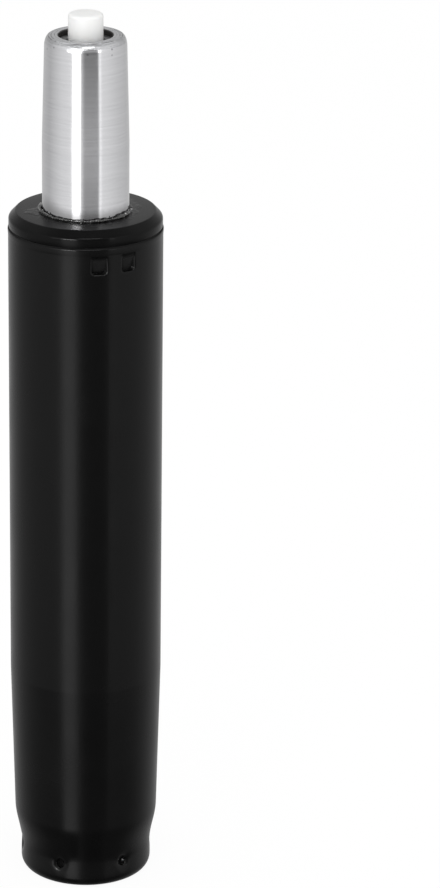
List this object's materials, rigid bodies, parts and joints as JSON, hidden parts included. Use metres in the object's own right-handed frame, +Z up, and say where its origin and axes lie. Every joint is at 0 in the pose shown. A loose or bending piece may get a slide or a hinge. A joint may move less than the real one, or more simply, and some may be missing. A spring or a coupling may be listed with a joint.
{
  "type": "chair gas lift cylinder",
  "caption": "Swivel-chair gas lift, lowered: black tapered column, plastic guide collar, bright tapered spindle and a white release button on top.",
  "frame": {"origin": "centre of the ring on which the column stands, on the axis of the cylinder", "axes": "+Z up along the axis, from the base taper to the release button; -Y is the front of the picture"},
  "size_m": [0.0502, 0.0502, 0.296],
  "materials": {
    "black_paint": "satin black powder coat on steel",
    "black_plastic": "moulded black acetal, satin",
    "zinc_steel": "pressed steel, zinc plated",
    "bearing_steel": "hardened and ground steel",
    "ball_steel": "polished bearing steel",
    "cage_plastic": "natural nylon, matte",
    "rod_chrome": "ground and hard chromed steel",
    "spring_steel": "phosphated spring steel",
    "black_rubber": "nitrile rubber",
    "valve_metal": "turned aluminium",
    "ground_steel": "ground steel, bright",
    "white_plastic": "moulded natural nylon, soft gloss"
  },
  "bodies": {
    "column": {"column_tube": "black_paint", "guide_bush": "black_plastic", "bottom_plate": "zinc_steel", "lower_bearing_race": "bearing_steel"},
    "bearing_cage": {"ball_cage": "cage_plastic", "bearing_balls": "ball_steel"},
    "rod": {"piston_rod": "rod_chrome", "upper_bearing_race": "bearing_steel", "retaining_clip": "spring_steel", "clip_washer": "zinc_steel", "buffer_washer": "zinc_steel", "rubber_buffer": "black_rubber", "piston_lower_washer": "zinc_steel", "piston": "valve_metal", "piston_seal": "black_rubber", "piston_upper_washer": "zinc_steel"},
    "spindle": {"spindle_tube": "ground_steel", "inner_cylinder": "zinc_steel", "rod_guide": "cage_plastic", "rod_seal": "black_rubber", "seal_washer": "zinc_steel", "cylinder_foot": "cage_plastic", "upper_valve_body": "valve_metal", "lower_valve_body": "valve_metal", "valve_body_ring": "black_rubber", "cylinder_ring": "black_rubber", "port_spacer": "cage_plastic", "valve_seat_ring": "black_rubber", "pin_seal_ring": "black_rubber"},
    "release": {"release_pin": "ground_steel", "release_button": "white_plastic"}
  },
  "joints": [
    {"name": "swivel", "type": "hinge", "parent": "column", "child": "rod", "pos_m": [0, 0, 0.01], "axis": [0, 0, 1], "continuous": true},
    {"name": "cage_spin", "type": "hinge", "parent": "column", "child": "bearing_cage", "pos_m": [0, 0, 0.01], "axis": [0, 0, 1], "continuous": true},
    {"name": "height_slide", "type": "slide", "parent": "rod", "child": "spindle", "axis": [0, 0, 1], "range_m": [0, 0.12]},
    {"name": "release_press", "type": "slide", "parent": "spindle", "child": "release", "axis": [0, 0, -1], "range_m": [0, 0.004], "stiffness_N_per_m": 300, "springref_m": -0.003}
  ],
  "couplings": [
    {"joint": "cage_spin", "follows": "swivel", "ratio": 0.5}
  ]
}
